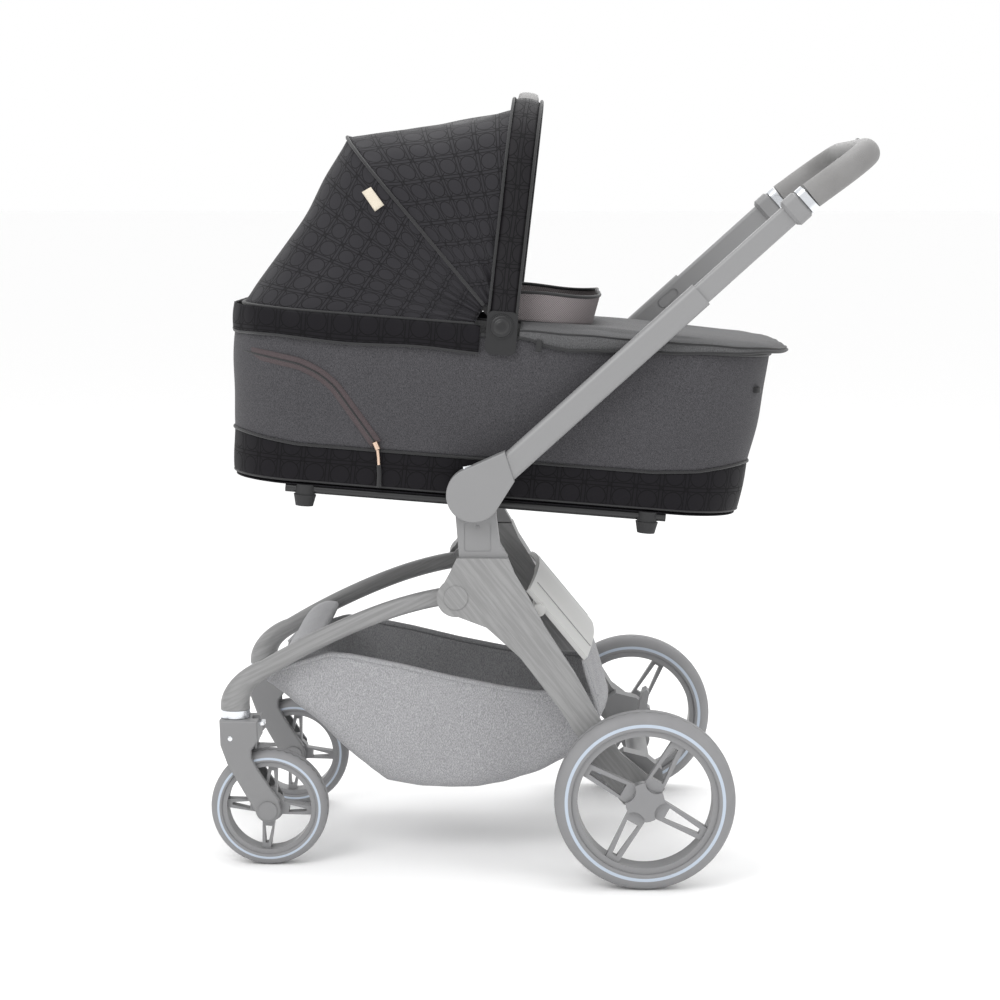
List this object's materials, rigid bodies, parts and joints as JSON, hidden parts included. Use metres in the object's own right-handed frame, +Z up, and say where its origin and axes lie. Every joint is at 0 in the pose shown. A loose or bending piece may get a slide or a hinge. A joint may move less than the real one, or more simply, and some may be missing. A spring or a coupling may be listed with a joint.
{
  "type": "baby stroller",
  "caption": "Folding pram chassis with a lift-off carrycot, hood and apron, castor front wheels, a telescoping handle and an under-basket.",
  "frame": {"origin": "on the ground, under the middle of the overall length and of the track", "axes": "+Z up, +X towards the handle and the foot end of the cot, -X towards the front wheels and the hood, -Y the left side of the person who pushes"},
  "size_m": [0.9421, 0.599, 1.0766],
  "materials": {
    "wood_grain": "pale grey moulded cover with a fine wood grain",
    "chassis_grey": "satin pale grey paint",
    "chassis_plastic": "fine-textured grey plastic",
    "fork_plastic": "fine-textured mid-grey plastic",
    "wheel_plastic": "satin grey plastic",
    "tyre_foam": "matt grey foam-filled rubber",
    "stripe": "reflective blue-grey band",
    "bright_metal": "polished metal",
    "grip_leather": "grained imitation leather",
    "panel_cover": "smooth coated cover",
    "basket_cloth": "grey melange cloth",
    "cot_cloth": "charcoal melange cloth",
    "cot_band": "near-black cloth with a printed cane-work line pattern",
    "hood_cloth": "near-black cloth with a printed cane-work line pattern",
    "piping": "dark binding tape",
    "zip_tape": "brown-grey zip tape",
    "flap_mesh": "warm grey spacer mesh",
    "black_plastic": "fine-textured black plastic",
    "black_steel": "satin black paint",
    "foot_rubber": "matt black rubber",
    "label_cloth": "cream woven label, blank",
    "lining": "soft grey lining",
    "mattress_cloth": "pale quilted cover over foam"
  },
  "bodies": {
    "rear_frame": {"rear_leg_left": "wood_grain", "rear_leg_right": "wood_grain", "stalk_left": "chassis_grey", "stalk_right": "chassis_grey", "rear_axle": "wood_grain", "brake_housings": "chassis_plastic", "rear_panel": "panel_cover", "rear_skirt": "basket_cloth", "basket": "basket_cloth", "pivot_caps": "wood_grain"},
    "brake_pedal": {"brake_pedal": "chassis_plastic"},
    "front_frame": {"front_leg_left": "wood_grain", "front_leg_right": "wood_grain", "cross_tube": "chassis_grey", "cross_sleeve": "basket_cloth", "castor_collars": "bright_metal"},
    "handle_arms": {"arm_hub_left": "chassis_grey", "arm_hub_right": "chassis_grey", "outer_tube_left": "chassis_grey", "outer_tube_right": "chassis_grey"},
    "handle_upper": {"inner_tubes": "chassis_grey", "handle_brackets": "chassis_plastic", "handle_rings": "bright_metal", "grip": "grip_leather", "grip_bezel": "chassis_plastic"},
    "height_button": {"height_button": "chassis_plastic"},
    "carrycot": {"cot_tub": "cot_cloth", "cot_base": "black_plastic", "mattress": "mattress_cloth", "cot_rails": "black_steel", "cot_feet": "foot_rubber", "cot_adaptors": "black_plastic", "hinge_housings": "black_plastic", "valance": "hood_cloth", "apron": "cot_cloth", "hood_rear_cloth": "hood_cloth"},
    "hood_rib": {"hood_rib": "black_plastic", "hood_front_cloth": "hood_cloth"},
    "hood_bow": {"hood_bow": "hood_cloth"},
    "wind_flap": {"wind_flap": "flap_mesh"},
    "rear_wheel_left": {"rear_tyre_left": "tyre_foam", "rear_rim_left": "wheel_plastic", "rear_hub_cap_left": "wheel_plastic"},
    "castor_left": {"castor_fork_left": "fork_plastic", "front_axle_left": "fork_plastic"},
    "swivel_lock_left": {"swivel_lock_left": "bright_metal"},
    "front_wheel_left": {"front_tyre_left": "tyre_foam", "front_rim_left": "wheel_plastic"},
    "release_button_left": {"release_button_left": "chassis_grey"},
    "fold_slider_left": {"fold_slider_left": "chassis_plastic"},
    "rear_wheel_right": {"rear_tyre_right": "tyre_foam", "rear_rim_right": "wheel_plastic", "rear_hub_cap_right": "wheel_plastic"},
    "castor_right": {"castor_fork_right": "fork_plastic", "front_axle_right": "fork_plastic"},
    "swivel_lock_right": {"swivel_lock_right": "bright_metal"},
    "front_wheel_right": {"front_tyre_right": "tyre_foam", "front_rim_right": "wheel_plastic"},
    "release_button_right": {"release_button_right": "chassis_grey"},
    "fold_slider_right": {"fold_slider_right": "chassis_plastic"}
  },
  "joints": [
    {"name": "handle_fold", "type": "hinge", "parent": "rear_frame", "child": "handle_arms", "pos_m": [-0.093, 0, 0.54], "axis": [0, -1, 0], "range_deg": [0, 150]},
    {"name": "front_fold", "type": "hinge", "parent": "rear_frame", "child": "front_frame", "pos_m": [-0.118, 0, 0.392], "axis": [0, -1, 0], "range_deg": [0, 45], "deforming": ["basket"]},
    {"name": "handle_height", "type": "slide", "parent": "handle_arms", "child": "handle_upper", "axis": [0.7408, 0, 0.6717], "range_m": [-0.12, 0.03]},
    {"name": "height_button_press", "type": "slide", "parent": "handle_upper", "child": "height_button", "axis": [-0.4695, 0, -0.8829], "range_m": [0, 0.0025], "stiffness_N_per_m": 400, "springref_m": -0.001},
    {"name": "rear_wheel_left_spin", "type": "hinge", "parent": "rear_frame", "child": "rear_wheel_left", "pos_m": [0.145, -0.277, 0.125], "axis": [0, 1, 0], "continuous": true},
    {"name": "castor_left_swivel", "type": "hinge", "parent": "front_frame", "child": "castor_left", "pos_m": [-0.435, -0.166, 0.22], "axis": [0, 0, 1], "continuous": true},
    {"name": "front_wheel_left_spin", "type": "hinge", "parent": "castor_left", "child": "front_wheel_left", "pos_m": [-0.387, -0.166, 0.084], "axis": [0, 1, 0], "continuous": true},
    {"name": "swivel_lock_left_slide", "type": "slide", "parent": "castor_left", "child": "swivel_lock_left", "axis": [1, 0, 0], "range_m": [0, 0.004]},
    {"name": "release_button_left_press", "type": "slide", "parent": "handle_arms", "child": "release_button_left", "axis": [0.2079, 0, -0.9781], "range_m": [0, 0.003], "stiffness_N_per_m": 400, "springref_m": -0.001},
    {"name": "fold_slider_left_slide", "type": "slide", "parent": "handle_arms", "child": "fold_slider_left", "axis": [0.7408, 0, 0.6717], "range_m": [0, 0.01], "stiffness_N_per_m": 200, "springref_m": -0.002},
    {"name": "rear_wheel_right_spin", "type": "hinge", "parent": "rear_frame", "child": "rear_wheel_right", "pos_m": [0.145, 0.277, 0.125], "axis": [0, 1, 0], "continuous": true},
    {"name": "castor_right_swivel", "type": "hinge", "parent": "front_frame", "child": "castor_right", "pos_m": [-0.435, 0.166, 0.22], "axis": [0, 0, 1], "continuous": true},
    {"name": "front_wheel_right_spin", "type": "hinge", "parent": "castor_right", "child": "front_wheel_right", "pos_m": [-0.387, 0.166, 0.084], "axis": [0, 1, 0], "continuous": true},
    {"name": "swivel_lock_right_slide", "type": "slide", "parent": "castor_right", "child": "swivel_lock_right", "axis": [1, 0, 0], "range_m": [0, 0.004]},
    {"name": "release_button_right_press", "type": "slide", "parent": "handle_arms", "child": "release_button_right", "axis": [0.2079, 0, -0.9781], "range_m": [0, 0.003], "stiffness_N_per_m": 400, "springref_m": -0.001},
    {"name": "fold_slider_right_slide", "type": "slide", "parent": "handle_arms", "child": "fold_slider_right", "axis": [0.7408, 0, 0.6717], "range_m": [0, 0.01], "stiffness_N_per_m": 200, "springref_m": -0.002},
    {"name": "brake_pedal_press", "type": "hinge", "parent": "rear_frame", "child": "brake_pedal", "pos_m": [0.145, 0, 0.125], "axis": [0, 1, 0], "range_deg": [0, 18]},
    {"name": "cot_lift", "type": "slide", "parent": "rear_frame", "child": "carrycot", "axis": [0, 0, 1], "range_m": [0, 0.3]},
    {"name": "hood_rib_fold", "type": "hinge", "parent": "carrycot", "child": "hood_rib", "pos_m": [-0.05497, 0, 0.77221], "axis": [0, -1, 0], "range_deg": [0, 32], "deforming": ["hood_rear_cloth"]},
    {"name": "hood_bow_fold", "type": "hinge", "parent": "hood_rib", "child": "hood_bow", "pos_m": [-0.05497, 0, 0.77221], "axis": [0, -1, 0], "range_deg": [0, 32], "deforming": ["hood_front_cloth"]},
    {"name": "wind_flap_fold", "type": "hinge", "parent": "carrycot", "child": "wind_flap", "pos_m": [0.07161, 0, 0.76837], "axis": [0, 1, 0], "range_deg": [0, 50]}
  ],
  "couplings": [
    {"joint": "front_fold", "follows": "handle_fold", "ratio": 0.3},
    {"joint": "hood_bow_fold", "follows": "hood_rib_fold", "ratio": 1}
  ]
}
